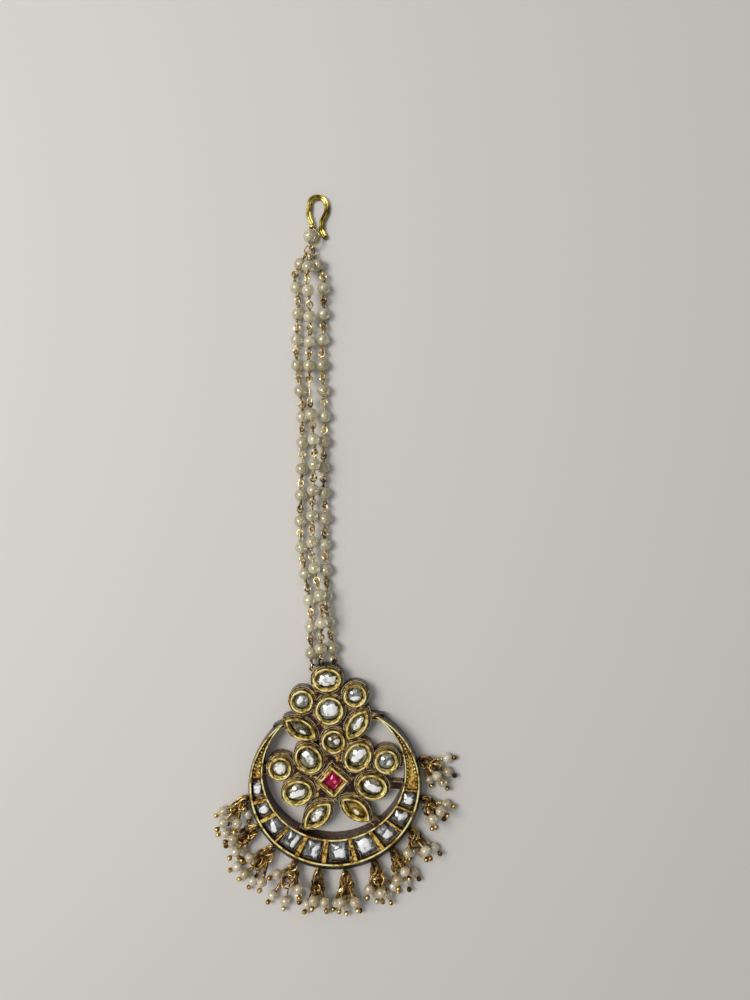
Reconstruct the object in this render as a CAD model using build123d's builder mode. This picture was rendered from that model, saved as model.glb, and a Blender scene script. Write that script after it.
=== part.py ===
from build123d import *
import os
from collections import namedtuple
from math import asin, atan2, cos, degrees, hypot, radians, sin, sqrt

# A maang tikka, lying face up on a surface. Millimetres and degrees. +Z is up, +Y runs from the
# pendant to the hair hook. The model is laid out round the middle of the pendant, and every piece
# is moved at the end, so that the origin is under the middle of the whole jewel.

# ---- Pendant: its own plane, turned a little from the line of the strands ----

PENDANT_TURN = 4.25
PENDANT = Plane(
    origin=(0, 0, 0),
    x_dir=(cos(radians(PENDANT_TURN)), sin(radians(PENDANT_TURN)), 0),
    z_dir=(0, 0, 1),
)

RIM_Z = 4.5  # top of every gold rim
RIM_WIDTH = 0.32
PLATE_Z = 2.7  # top of the plate that joins the collets
STONE_GAP = 0.08

# The crescent lies between two ovals, a little wider than they are high. Below the rim a girdle
# stands out, more at the bottom than at the horns, and the fringe staples are soldered to it.
Oval = namedtuple("Oval", "x y x_radius y_radius")
OUTER = Oval(-0.02, -0.83, 19.45, 18.29)
INNER = Oval(0.04, 2.35, 16.4, 15.49)
GIRDLE = Oval(-0.02, -1.45, 20.0, 19.1)
GIRDLE_Z = 3.2
CRESCENT_RIM_WIDTH, HORN_RIM_WIDTH = 0.35, 0.25
CELL_X, CELL_Y = -0.19, -0.36  # the bars between the cells point here
HORN_TIP_Y = 14.2
DIVIDER_Z = 4.3
HORN_FLOOR_Z = 3.7
CELL_FLOOR_Z = 3.2
CELL_SEAT_Z = 2.2
FIRST_CELL_ANGLE = 172.0
GRAIN_RADII = [0.36, 0.24]  # the small ones fill the narrow tips
GRAIN_GAP = 0.1

# The gold bars between the crescent's stones: where round the crescent, and how thick.
Divider = namedtuple("Divider", "angle thickness")
DIVIDERS = [
    Divider(189.3, 0.7),
    Divider(203.3, 0.8),
    Divider(220.4, 0.4),
    Divider(238.5, 0.9),
    Divider(258.5, 0.9),
    Divider(281.8, 0.8),
    Divider(302.9, 0.9),
    Divider(320.8, 0.4),
    Divider(336.0, 0.4),
    Divider(351.3, 0.7),
]

# The collets: length and width are half sizes of the rim, turn is the long axis from the
# pendant's X.
Setting = namedtuple("Setting", "name shape x y turn length width")
SETTINGS = [
    Setting("crown_stone", "oval", 0.0, 23.5, -3, 3.2, 2.63),
    Setting("left_shoulder_stone", "oval", -6.11, 18.96, 0, 2.55, 2.55),
    Setting("right_shoulder_stone", "oval", 6.2, 19.38, 0, 2.56, 2.56),
    Setting("heart_stone", "oval", 0.08, 16.39, 0, 3.1, 3.1),
    Setting("left_upper_leaf_stone", "leaf", -6.81, 12.65, -34, 4.0, 2.12),
    Setting("right_upper_leaf_stone", "leaf", 6.17, 12.72, 52, 3.9, 2.05),
    Setting("middle_stone", "oval", 0.47, 9.2, 0, 2.6, 2.6),
    Setting("left_upper_petal_stone", "oval", -5.49, 5.67, -55, 3.35, 2.83),
    Setting("right_upper_petal_stone", "oval", 5.8, 5.33, 51, 3.4, 2.85),
    Setting("left_side_stone", "oval", -12.27, 3.99, 0, 2.57, 2.57),
    Setting("right_side_stone", "oval", 12.25, 3.77, 0, 2.65, 2.65),
    Setting("red_stone", "square", -0.29, 0.0, 45, 2.43, 2.43),
    Setting("left_lower_petal_stone", "oval", -8.64, -1.84, 8, 3.35, 2.75),
    Setting("right_lower_petal_stone", "oval", 8.54, -1.76, -19, 3.4, 2.75),
    Setting("left_lower_leaf_stone", "leaf", -4.39, -7.39, 39, 4.0, 2.15),
    Setting("right_lower_leaf_stone", "leaf", 4.38, -6.66, -42, 3.9, 2.05),
]
SKIRT_WIDTH, SKIRT_Z = 0.7, 3.3  # the wider foot of each collet
COLLET_FLARE = 0.25
BEVEL_WIDTH, BEVEL_DEPTH = 0.45, 0.7  # the slope from a rim down to its stone
LEAF_TIP = 1.35  # a leaf's tip grows faster than its sides
SEAT_Z = 2.6
GIRDLE_TOP_Z = 3.6
TABLE_Z = 4.3

# The plate under the flower, as areas from collet to collet.
PLATES = [
    [(-6.1, 19.0), (0, 23.5), (6.2, 19.4), (6.2, 12.7), (0.5, 9.2), (-6.8, 12.7)],
    [(-5.5, 5.7), (0.5, 9.2), (5.8, 5.3), (8.5, -1.8), (4.4, -6.7), (-0.3, -4.7), (-4.4, -7.4), (-8.6, -1.8)],
    [(-12.3, 4.0), (-5.5, 5.7), (-8.6, -1.8)],
    [(12.3, 3.8), (5.8, 5.3), (8.5, -1.8)],
]

# Solder bridges from the flower to the crescent: both ends and the width.
Bridge = namedtuple("Bridge", "start end width")
BRIDGES = [
    Bridge((-12.3, 4.0), (-16.6, 3.4), 2.2),
    Bridge((12.3, 3.8), (16.2, 3.0), 2.6),
    Bridge((8.5, -1.8), (15.6, -2.6), 1.8),
    Bridge((-7.0, -9.4), (-8.7, -11.4), 1.6),
    Bridge((6.9, -8.9), (9.1, -10.95), 1.6),
    Bridge((-9.4, 14.3), (-13.1, 12.7), 1.5),
    Bridge((8.2, 14.3), (12.4, 13.4), 1.6),
]
BRIDGE_Z = 2.6

# ---- Wires, eyes and pearls ----

WIRE, STEM = 0.2, 0.175  # radius of the eyes, and of the straight wire between them
EYE = 0.72  # radius of an eye's centre line
EYE_SPAN = 0.65  # between the centres of two linked eyes
PEARL_RADIUS = 1.45
BORE_RADIUS = 0.3

# The strands. A joint is where two eyes link. Its Y runs evenly from first_y to last_y, with the
# middle of the strand ahead by lead. The centre strand rides over the others, and has lost one
# pearl. twist turns the eyes of the strand from row to row.
Strand = namedtuple("Strand", "name first_y last_y lead ring_angle twist x z")
STRANDS = [
    Strand(
        "left", 117.1, 26.0, 0.4, 222, 20,
        [-9.4, -8.6, -8.8, -9.1, -8.5, -7.7, -7.7, -7.6, -7.9, -8.1, -8.1, -7.6, -6.4, -5.6, -5.7, -5.3],
        [1.7, 1.5, 1.5, 1.5, 1.5, 1.5, 1.5, 1.5, 1.5, 1.5, 1.5, 1.5, 1.5, 1.5, 1.5, 1.8],
    ),
    Strand(
        "centre", 115.2, 27.3, 1.6, 270, 75,
        [-6.1, -5.7, -5.8, -6.0, -5.9, -5.7, -5.0, -4.5, -4.7, -5.2, -5.2, -5.3, -4.0, -2.6, -3.1, -3.3],
        [5.6, 4.6, 1.8, 2.2, 2.6, 3.2, 3.8, 3.6, 4.8, 2.2, 3.2, 2.6, 3.6, 5.0, 4.4, 1.9],
    ),
    Strand(
        "right", 116.9, 27.3, 0.2, 314, 130,
        [-2.7, -2.7, -2.7, -3.0, -2.9, -2.5, -2.4, -2.7, -2.7, -2.3, -2.4, -2.3, -2.0, -1.9, -1.0, -0.1],
        [1.7, 1.5, 1.5, 1.5, 1.5, 1.5, 1.5, 1.5, 1.5, 1.5, 1.5, 1.5, 1.5, 1.5, 1.5, 1.9],
    ),
]
TWIST_STEP = 55
LOST_PEARL = ("centre", 5)
TOP_EYE_WIRE = 0.22

# The hook end: the gather ring, the single pearl, and the bent hook.
RING_CENTRE = Vector(-5.95, 122.73, 1.45)
RING_RADIUS, RING_WIRE = 1.2, 0.16
TOP_PEARL_CENTRE = Vector(-5.95, 126.15, 1.5)
TOP_PEARL_RADIUS = 1.5
LOWER_EYE, UPPER_EYE = 0.5, 0.72
HOOK_Z = 0.62
HOOK_RIDGE, HOOK_SPREAD = 0.36, 0.26  # two ridges side by side
HOOK_LOOP = [
    (-2.35, 126.2), (-3.15, 127.9), (-3.15, 129.7), (-1.8, 132.6),
    (-2.3, 135.4), (-5.9, 135.7), (-6.15, 131.4), (-5.35, 129.2),
]
HOOK_LOOP_RADII = [1.5, 1.5, 2.5, 1.7, 1.7, 3.0]
HOOK_TIP_RADIUS = 0.52
TAIL_WIRE = 0.22
TAIL = [(-5.3, 129.1, 1.0), (-5.05, 127.95, 1.5), (-3.3, 126.3, 1.35)]  # round the top pearl
TAIL_ANGLE = 40  # where the tail comes down inside the gather ring
TAIL_BENDS = [0.45, 1.2, 1.2, 0.55]
TAIL_END_RADIUS = 0.3

# ---- Fringe: bunches of drops, each bunch stacked on one soldered staple ----

STAPLE_MIDDLE_X, STAPLE_MIDDLE_Y = -0.19, -1.06  # the staples point here
STAPLE_DISTANCE, STAPLE_DEPTH = 21.19, 2.4  # out to the staple's upright, and from there back in
STAPLE_WIRE = 0.26
STAPLE_COVER = 0.15  # metal between a staple's upper end and the channel
STAPLE_LOW_Z, STAPLE_HIGH_Z, STAPLE_BEND = 0.3, 3.45, 0.4
FIRST_EYE_Z, EYE_STEP = 0.87, 0.5
LOOP_RADIUS, LOOP_OFFSET = 0.66, 0.06
LOOP_SHARE, LOOP_START = 0.5, 2.8  # long drops have long loops
DROP_PEARL_RADIUS = 1.15
DROP_BALL_RADIUS = 0.6
BALL_SPACING = 1.86  # from a drop's pearl to its ball
LOW, HIGH = 1.2, 3.6  # height of the two layers of pearls

# Each bunch: where it sits round the girdle, then its drops from the lowest eye up. A drop gives
# its turn from straight out, how far its pearl is from the staple, and the layer it lies in.
Drop = namedtuple("Drop", "turn reach z")
Bunch = namedtuple("Bunch", "angle drops")
FRINGE = [
    Bunch(186.4, [
        Drop(19, 5.9, LOW), Drop(44, 5.4, LOW), Drop(88, 3.7, LOW),
        Drop(34, 6.6, HIGH), Drop(62, 5.0, HIGH),
    ]),
    Bunch(206.3, [
        Drop(-21, 7.2, LOW), Drop(0, 6.4, LOW), Drop(29, 6.2, LOW),
        Drop(14, 6.2, HIGH), Drop(-14, 5.2, HIGH),
    ]),
    Bunch(222.4, [
        Drop(-19, 9.2, LOW), Drop(-3, 8.8, LOW), Drop(13, 8.9, LOW),
        Drop(27, 7.0, HIGH), Drop(-34, 4.9, HIGH),
    ]),
    Bunch(239.8, [
        Drop(-9, 9.0, LOW), Drop(12, 9.0, LOW), Drop(32, 7.4, LOW),
        Drop(38, 4.9, HIGH), Drop(-45, 4.0, HIGH),
    ]),
    Bunch(255.6, [
        Drop(-9, 8.1, LOW), Drop(5, 6.3, LOW), Drop(22, 7.9, LOW),
        Drop(25, 6.2, HIGH), Drop(0, 5.6, HIGH),
    ]),
    Bunch(272.8, [
        Drop(-6, 7.8, LOW), Drop(13, 7.8, LOW), Drop(-25, 7.4, LOW),
        Drop(14, 6.2, HIGH), Drop(-17, 6.0, HIGH),
    ]),
    Bunch(291.8, [
        Drop(-3, 8.0, LOW), Drop(-22, 7.0, LOW), Drop(14, 6.9, LOW),
        Drop(-11, 5.8, HIGH), Drop(-40, 4.9, HIGH),
    ]),
    Bunch(306.2, [
        Drop(-18, 7.8, LOW), Drop(2, 7.0, LOW), Drop(-38, 4.4, LOW),
        Drop(-32, 5.6, HIGH), Drop(-5, 4.4, HIGH),
    ]),
    Bunch(324.0, [
        Drop(-8, 6.7, LOW), Drop(-32, 6.0, LOW), Drop(-62, 5.2, LOW),
        Drop(-20, 4.9, HIGH), Drop(-72, 4.4, HIGH),
    ]),
    Bunch(345.3, [
        Drop(-64, 5.4, LOW), Drop(-5, 5.4, LOW), Drop(-36, 5.0, LOW),
        Drop(-54, 4.2, HIGH), Drop(-18, 4.2, HIGH),
    ]),
    Bunch(10.4, [
        Drop(-64, 7.2, LOW), Drop(-42, 6.6, LOW), Drop(-13, 5.7, LOW),
        Drop(-86, 5.0, 1.3), Drop(-60, 4.4, HIGH),
    ]),
]

UP = Vector(0, 0, 1)
finished = []


def keep(block, name):
    """Names a finished piece and puts it on the list for export."""
    block.part.label = name
    finished.append(block.part)


def in_world(x, y, z=0.0):
    """A point of the pendant's own plane in the frame of the whole model."""
    return PENDANT.from_local_coords(Vector(x, y, z))


# ---- Outlines of collets and stones ----


def draw_setting(setting, growth):
    """The rim's outline in the open sketch, larger all round by growth."""
    length = setting.length + growth
    width = setting.width + growth
    with Locations(Location((setting.x, setting.y, 0), (0, 0, setting.turn))):
        if setting.shape == "oval":
            Ellipse(length, width)
        elif setting.shape == "square":
            Rectangle(2 * length, 2 * width)
        else:
            length = setting.length + LEAF_TIP * growth
            radius = leaf_radius(length, width)
            half_turn = degrees(asin(length / radius))
            with BuildLine() as leaf:
                CenterArc((0, width - radius), radius, 90 - half_turn, 2 * half_turn)
                CenterArc((0, radius - width), radius, 270 - half_turn, 2 * half_turn)
            add(make_face(leaf.line, mode=Mode.PRIVATE))


def leaf_radius(length, width):
    """Radius of the two arcs that bound a leaf of this half length and half width."""
    return (length**2 + width**2) / (2 * width)


def edge_distance(shape, length, width, angle):
    """How far a tangent square to angle lies from the middle of an outline."""
    along, across = abs(cos(radians(angle))), abs(sin(radians(angle)))
    if shape == "oval":
        return hypot(length * along, width * across)
    if shape == "square":
        return length * along + width * across
    radius = leaf_radius(length, width)
    return max(length * along, radius - (radius - width) * across)


def cut_facets(stone_plane, shape, length, width, girdle_z, table_z, count):
    """Cuts the crown of the open part: a steep tier of facets, then a shallow one half a step on."""
    rise = table_z - girdle_z
    tiers = [(0.0, 1.0, 0.0, 0.76, 0.58), (0.5, 0.76, 0.58, 0.42, 1.0)]
    for phase, low_reach, low_rise, high_reach, high_rise in tiers:
        for step in range(count):
            angle = 360 * (step + phase) / count
            distance = edge_distance(shape, length, width, angle)
            drop = rise * (high_rise - low_rise)
            run = distance * (low_reach - high_reach)
            out = Vector(cos(radians(angle)), sin(radians(angle)), 0)
            point = out * (distance * low_reach) + UP * (girdle_z + rise * low_rise)
            normal = out * drop + UP * run
            facet = Plane(
                origin=stone_plane.from_local_coords(point),
                z_dir=stone_plane.from_local_coords(point + normal) - stone_plane.from_local_coords(point),
            )
            split(bisect_by=facet, keep=Keep.BOTTOM)


# ---- Pendant frame ----


def draw_oval(oval, growth=0.0, mode=Mode.ADD):
    """An oval in the open sketch, larger all round by growth."""
    with Locations((oval.x, oval.y)):
        Ellipse(oval.x_radius + growth, oval.y_radius + growth, mode=mode)


def band_sketch(inset, tip_y):
    """The crescent between its two ovals, narrower on each side by inset."""
    draw_oval(OUTER, -inset)
    draw_oval(INNER, inset, mode=Mode.SUBTRACT)
    with Locations((0, tip_y)):
        Rectangle(60, 40, align=(Align.CENTER, Align.MIN), mode=Mode.SUBTRACT)


def distance_to(oval, angle, x=CELL_X, y=CELL_Y):
    """From the middle of the cells, or from x and y, out to an oval at this angle."""
    step_x = cos(radians(angle)) / oval.x_radius
    step_y = sin(radians(angle)) / oval.y_radius
    from_x = (x - oval.x) / oval.x_radius
    from_y = (y - oval.y) / oval.y_radius
    a = step_x**2 + step_y**2
    b = step_x * from_x + step_y * from_y
    c = from_x**2 + from_y**2 - 1
    return (sqrt(b**2 - a * c) - b) / a


def band_at(angle):
    """The crescent at this angle: how far out its middle is, and its width."""
    near, far = distance_to(INNER, angle), distance_to(OUTER, angle)
    return (near + far) / 2, far - near


def cell_point(angle, distance):
    """A point of the pendant's plane, by its direction and distance from the middle of the cells."""
    return CELL_X + distance * cos(radians(angle)), CELL_Y + distance * sin(radians(angle))


def cell(index):
    """One cell of the crescent: its middle angle, middle distance, width and depth."""
    ends = [Divider(FIRST_CELL_ANGLE, 0.0)] + DIVIDERS
    before, after = ends[index], ends[index + 1]
    angle = (before.angle + after.angle) / 2
    middle, band = band_at(angle)
    chord = 2 * middle * sin(radians((after.angle - before.angle) / 2))
    width = chord - (before.thickness + after.thickness) / 2
    return angle, middle, width, band - 2 * CRESCENT_RIM_WIDTH


def cell_stone(index):
    """The crescent's stone in this cell: its plane and its half sizes, out and along."""
    angle, middle, width, depth = cell(index)
    plane = Plane(
        origin=in_world(*cell_point(angle, middle)),
        x_dir=in_world(cos(radians(angle)), sin(radians(angle))),
        z_dir=(0, 0, 1),
    )
    out = 0.45 * depth
    along = min(0.39 * width, 1.12 * out)
    return plane, out, along


def staple_point(angle, z, inward=0.0):
    """A point of a fringe staple's upright, or nearer the girdle, in the frame of the whole model."""
    distance = STAPLE_DISTANCE - inward
    x = STAPLE_MIDDLE_X + distance * cos(radians(angle))
    y = STAPLE_MIDDLE_Y + distance * sin(radians(angle))
    return in_world(x, y, z)


def crescent_body():
    """The crescent with its channel cut into cells, still without stones."""
    with BuildPart() as body:
        with BuildSketch(PENDANT):
            draw_oval(GIRDLE)
        extrude(amount=GIRDLE_Z)
        with BuildSketch(PENDANT.offset(GIRDLE_Z)):
            draw_oval(GIRDLE)
        with BuildSketch(PENDANT.offset(RIM_Z)):
            draw_oval(OUTER)
        loft()
        with BuildSketch(PENDANT):
            draw_oval(INNER)
            with Locations((0, HORN_TIP_Y)):
                Rectangle(60, 40, align=(Align.CENTER, Align.MIN))
        extrude(amount=RIM_Z, mode=Mode.SUBTRACT)
        with BuildSketch(PENDANT.offset(DIVIDER_Z)):
            band_sketch(CRESCENT_RIM_WIDTH, HORN_TIP_Y)
        extrude(amount=RIM_Z, mode=Mode.SUBTRACT)
        with BuildSketch(PENDANT.offset(HORN_FLOOR_Z)):
            band_sketch(HORN_RIM_WIDTH, HORN_TIP_Y - HORN_RIM_WIDTH)
            cell_wedge(mode=Mode.SUBTRACT)
        extrude(amount=RIM_Z, mode=Mode.SUBTRACT)
        with BuildSketch(PENDANT.offset(CELL_FLOOR_Z)):
            band_sketch(CRESCENT_RIM_WIDTH, HORN_TIP_Y)
            cell_wedge(mode=Mode.INTERSECT)
            for divider in DIVIDERS:
                x, y = cell_point(divider.angle, band_at(divider.angle)[0])
                with Locations(Location((x, y, 0), (0, 0, divider.angle))):
                    Rectangle(8, divider.thickness, mode=Mode.SUBTRACT)
        extrude(amount=RIM_Z, mode=Mode.SUBTRACT)
        for index in range(len(DIVIDERS)):
            plane, out, along = cell_stone(index)
            with BuildSketch(plane.offset(CELL_SEAT_Z)):
                Rectangle(2 * (out + STONE_GAP), 2 * (along + STONE_GAP))
            extrude(amount=RIM_Z, mode=Mode.SUBTRACT)
    return body.part


def cell_wedge(mode):
    """The sector of the crescent that holds the cells, in the open sketch."""
    reach = 40
    last = DIVIDERS[-1].angle
    corners = [FIRST_CELL_ANGLE, 225, 270, 315, last]
    points = [cell_point(angle, reach) for angle in corners]
    with BuildLine() as wedge:
        Polyline((CELL_X, CELL_Y), *points, close=True)
    add(make_face(wedge.line, mode=Mode.PRIVATE), mode=mode)


def grain_places(radius):
    """Middles of the gold grains of this radius on both horns, in two rows where there is room."""
    places = []
    for start, sign in ((FIRST_CELL_ANGLE, -1), (DIVIDERS[-1].angle - 360, 1)):
        travel = 1.5
        while travel < 60:
            angle = start + sign * travel
            middle, band = band_at(angle)
            room = band - 2 * HORN_RIM_WIDTH
            fitting = [r for r in GRAIN_RADII if 2 * r < room]
            if not fitting:
                break
            travel += degrees((2 * fitting[0] + GRAIN_GAP) / middle)
            if fitting[0] != radius:
                continue
            spread = room / 2 - radius if room > 4 * radius + GRAIN_GAP else 0
            for side in (-spread, spread) if spread else (0,):
                places.append(in_world(*cell_point(angle, middle + side), HORN_FLOOR_Z + radius / 4))
    return places


def staple_path(angle):
    """Middle line of one fringe staple, from inside the girdle out, up and back in."""
    wall = distance_to(OUTER, angle, STAPLE_MIDDLE_X, STAPLE_MIDDLE_Y) - CRESCENT_RIM_WIDTH
    upper_depth = min(STAPLE_DEPTH, STAPLE_DISTANCE - wall - STAPLE_COVER)
    points = [
        staple_point(angle, STAPLE_LOW_Z, STAPLE_DEPTH),
        staple_point(angle, STAPLE_LOW_Z),
        staple_point(angle, STAPLE_HIGH_Z),
        staple_point(angle, STAPLE_HIGH_Z, upper_depth),
    ]
    with BuildLine() as path:
        FilletPolyline(*points, radius=STAPLE_BEND)
    return path.line


def strand_joints(strand):
    """The points where this strand's eyes link, from the gather ring down to the pendant."""
    ring_angle = radians(strand.ring_angle)
    joints = [RING_CENTRE + Vector(cos(ring_angle), sin(ring_angle), 0) * RING_RADIUS]
    last = len(strand.x) - 1
    for index, (x, z) in enumerate(zip(strand.x, strand.z)):
        share = index / last
        y = strand.first_y + (strand.last_y - strand.first_y) * share
        joints.append(Vector(x, y + strand.lead * 4 * share * (1 - share), z))
    return joints


def across(direction, twist):
    """A unit vector square to direction, turned by twist from lying flat."""
    side = direction.cross(UP).normalized()
    return side * cos(radians(twist)) + side.cross(direction) * sin(radians(twist))


def joint_twist(strand, index):
    return strand.twist + TWIST_STEP * index


def pendant_eye_plane(strand):
    """The soldered eye that holds the last eye of this strand."""
    joints = strand_joints(strand)
    joint = joints[-1]
    crown = SETTINGS[0]
    along = (joint - joints[-2]).normalized()
    inward = (in_world(crown.x, crown.y, joint.Z) - joint).normalized()
    inward = (inward + along).normalized()
    twist = joint_twist(strand, len(strand.x)) + 90
    return Plane(origin=joint + inward * (EYE_SPAN / 2), z_dir=across(inward, twist))


def build_pendant_frame():
    body = crescent_body()
    with BuildPart() as pendant_frame:
        add(body)
        with BuildSketch(PENDANT):
            for corners in PLATES:
                with BuildLine() as edge:
                    Polyline(*corners, close=True)
                add(make_face(edge.line, mode=Mode.PRIVATE))
        extrude(amount=PLATE_Z)
        with BuildSketch(PENDANT):
            for bridge in BRIDGES:
                dx = bridge.end[0] - bridge.start[0]
                dy = bridge.end[1] - bridge.start[1]
                middle = ((bridge.start[0] + bridge.end[0]) / 2, (bridge.start[1] + bridge.end[1]) / 2, 0)
                with Locations(Location(middle, (0, 0, degrees(atan2(dy, dx))))):
                    Rectangle(hypot(dx, dy), bridge.width)
        extrude(amount=BRIDGE_Z)
        for setting in SETTINGS:
            with BuildSketch(PENDANT):
                draw_setting(setting, SKIRT_WIDTH)
            extrude(amount=SKIRT_Z)
        for setting in SETTINGS:
            with BuildSketch(PENDANT.offset(SKIRT_Z)):
                draw_setting(setting, COLLET_FLARE)
            with BuildSketch(PENDANT.offset(RIM_Z)):
                draw_setting(setting, 0)
            loft()
        for setting in SETTINGS:
            with BuildSketch(PENDANT.offset(RIM_Z - BEVEL_DEPTH)):
                draw_setting(setting, -RIM_WIDTH - BEVEL_WIDTH)
            with BuildSketch(PENDANT.offset(RIM_Z)):
                draw_setting(setting, -RIM_WIDTH)
            loft(mode=Mode.SUBTRACT)
            with BuildSketch(PENDANT.offset(SEAT_Z)):
                draw_setting(setting, -RIM_WIDTH - BEVEL_WIDTH)
            extrude(amount=RIM_Z - BEVEL_DEPTH - SEAT_Z, mode=Mode.SUBTRACT)
        for radius in GRAIN_RADII:
            with Locations(*grain_places(radius)):
                Sphere(radius, rotation=(0, 0, 45))
        for bunch in FRINGE:
            path = staple_path(bunch.angle)
            with BuildSketch(Plane(origin=path @ 0, z_dir=path % 0)):
                Circle(STAPLE_WIRE)
            sweep(path=path)
        with Locations(*[pendant_eye_plane(strand) for strand in STRANDS]):
            Torus(EYE, TOP_EYE_WIRE)
    keep(pendant_frame, "pendant_frame")


# ---- Stones ----


def build_stones():
    for setting in SETTINGS:
        shrink = RIM_WIDTH + BEVEL_WIDTH + STONE_GAP
        plane = Plane(
            origin=in_world(setting.x, setting.y),
            x_dir=in_world(cos(radians(setting.turn)), sin(radians(setting.turn))),
            z_dir=(0, 0, 1),
        )
        tip = LEAF_TIP if setting.shape == "leaf" else 1
        length, width = setting.length - tip * shrink, setting.width - shrink
        count = 8 if setting.shape == "square" else 12
        with BuildPart() as stone:
            with BuildSketch(PENDANT.offset(SEAT_Z + STONE_GAP)):
                draw_setting(setting, -shrink)
            extrude(amount=TABLE_Z - SEAT_Z - STONE_GAP)
            cut_facets(plane, setting.shape, length, width, GIRDLE_TOP_Z, TABLE_Z, count)
        keep(stone, setting.name)


def build_crescent_stones():
    for index in range(len(DIVIDERS)):
        plane, out, along = cell_stone(index)
        bottom = CELL_SEAT_Z + STONE_GAP
        with BuildPart() as stone:
            with BuildSketch(plane.offset(bottom)):
                Rectangle(2 * out, 2 * along)
            extrude(amount=TABLE_Z - bottom)
            cut_facets(plane, "square", out, along, CELL_FLOOR_Z + 0.1, TABLE_Z - 0.1, 8)
        keep(stone, f"crescent_stone_{index + 1}")


# ---- Strands ----


def eye_pin(top, bottom, top_normal, bottom_normal):
    """A straight wire with an eye at each end, the eyes centred on top and bottom."""
    along = (bottom - top).normalized()
    length = (bottom - top).length - 2 * EYE
    with BuildPart() as pin:
        with Locations(Plane(origin=(top + bottom) / 2, z_dir=along)):
            Cylinder(STEM, length)
        with Locations(Plane(origin=top, z_dir=top_normal), Plane(origin=bottom, z_dir=bottom_normal)):
            Torus(EYE, WIRE)
    return pin.part


def build_strand(strand):
    joints = strand_joints(strand)
    pins = []
    pearl_planes = []
    for index in range(len(joints) - 1):
        start, end = joints[index], joints[index + 1]
        along = (end - start).normalized()
        if index == 0:
            ring_angle = radians(strand.ring_angle)
            tangent = Vector(-sin(ring_angle), cos(ring_angle), 0)
            top = start + along * 0.2
            top_normal = (tangent - along * tangent.dot(along)).normalized()
        else:
            top = start + along * (EYE_SPAN / 2)
            top_normal = across(along, joint_twist(strand, index) + 90)
        bottom = end - along * (EYE_SPAN / 2)
        bottom_normal = across(along, joint_twist(strand, index + 1))
        pins.append(eye_pin(top, bottom, top_normal, bottom_normal))
        if (strand.name, index) != LOST_PEARL:
            pearl_planes.append(Plane(origin=(top + bottom) / 2, z_dir=along))
    with BuildPart() as wires:
        add(pins)
    keep(wires, f"{strand.name}_strand_pins")
    with BuildPart() as pearls:
        with Locations(*pearl_planes):
            Sphere(PEARL_RADIUS)
            Cylinder(BORE_RADIUS, 4 * PEARL_RADIUS, mode=Mode.SUBTRACT)
    keep(pearls, f"{strand.name}_strand_pearls")


# ---- Hook end ----


def build_hook_end():
    with BuildPart() as gather_ring:
        with Locations(Plane(origin=RING_CENTRE, z_dir=UP)):
            Torus(RING_RADIUS, RING_WIRE)
    keep(gather_ring, "gather_ring")

    axis = Plane(origin=TOP_PEARL_CENTRE, z_dir=(0, 1, 0))
    with BuildPart() as top_pearl:
        with Locations(axis):
            Sphere(TOP_PEARL_RADIUS)
            Cylinder(BORE_RADIUS, 4 * TOP_PEARL_RADIUS, mode=Mode.SUBTRACT)
    keep(top_pearl, "top_pearl")

    # The lower eye hangs the gather ring. The upper one is bent square, round the hook's tail.
    low_end = RING_CENTRE.Y + RING_RADIUS + LOWER_EYE
    high_end = TOP_PEARL_CENTRE.Y + TOP_PEARL_RADIUS + 0.6
    low_centre = Vector(RING_CENTRE.X, RING_CENTRE.Y + RING_RADIUS, RING_CENTRE.Z)
    high_centre = Vector(TOP_PEARL_CENTRE.X + UPPER_EYE, high_end, TOP_PEARL_CENTRE.Z)
    with BuildPart() as top_pearl_pin:
        with Locations(Plane(origin=(TOP_PEARL_CENTRE.X, low_end, TOP_PEARL_CENTRE.Z), z_dir=(0, 1, 0))):
            Cylinder(STEM, high_end - low_end, align=(Align.CENTER, Align.CENTER, Align.MIN))
        with Locations(Plane(origin=low_centre, z_dir=(1, 0, 0))):
            Torus(LOWER_EYE, WIRE)
        with Locations(Plane(origin=high_centre, z_dir=(0, 1, 0))):
            Torus(UPPER_EYE, WIRE)
    keep(top_pearl_pin, "top_pearl_pin")

    with BuildLine() as loop_path:
        FilletPolyline(*[(x, y, HOOK_Z) for x, y in HOOK_LOOP], radius=HOOK_LOOP_RADII)
    over_ring = Vector(cos(radians(TAIL_ANGLE)), sin(radians(TAIL_ANGLE)), 0)
    clear = TAIL_BENDS[-1]
    down = RING_CENTRE + over_ring * (RING_RADIUS - clear) + UP * clear
    with BuildLine() as tail_path:
        FilletPolyline(*TAIL, down + over_ring * 2, down, down - UP * 1.2, radius=TAIL_BENDS)
    start = loop_path.line @ 0
    forward = loop_path.line % 0
    with BuildPart() as hook:
        with BuildSketch(Plane(origin=start, x_dir=forward.cross(UP), z_dir=forward)):
            with Locations((-HOOK_SPREAD, 0), (HOOK_SPREAD, 0)):
                Circle(HOOK_RIDGE)
        sweep(path=loop_path.line)
        with BuildSketch(Plane(origin=tail_path.line @ 0, z_dir=tail_path.line % 0)):
            Circle(TAIL_WIRE)
        sweep(path=tail_path.line)
        with Locations(start):
            Sphere(HOOK_TIP_RADIUS)
        with Locations(loop_path.line @ 1):
            Sphere(HOOK_TIP_RADIUS)
        with Locations(tail_path.line @ 1):
            Sphere(TAIL_END_RADIUS)
    keep(hook, "hook")


# ---- Fringe ----


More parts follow.
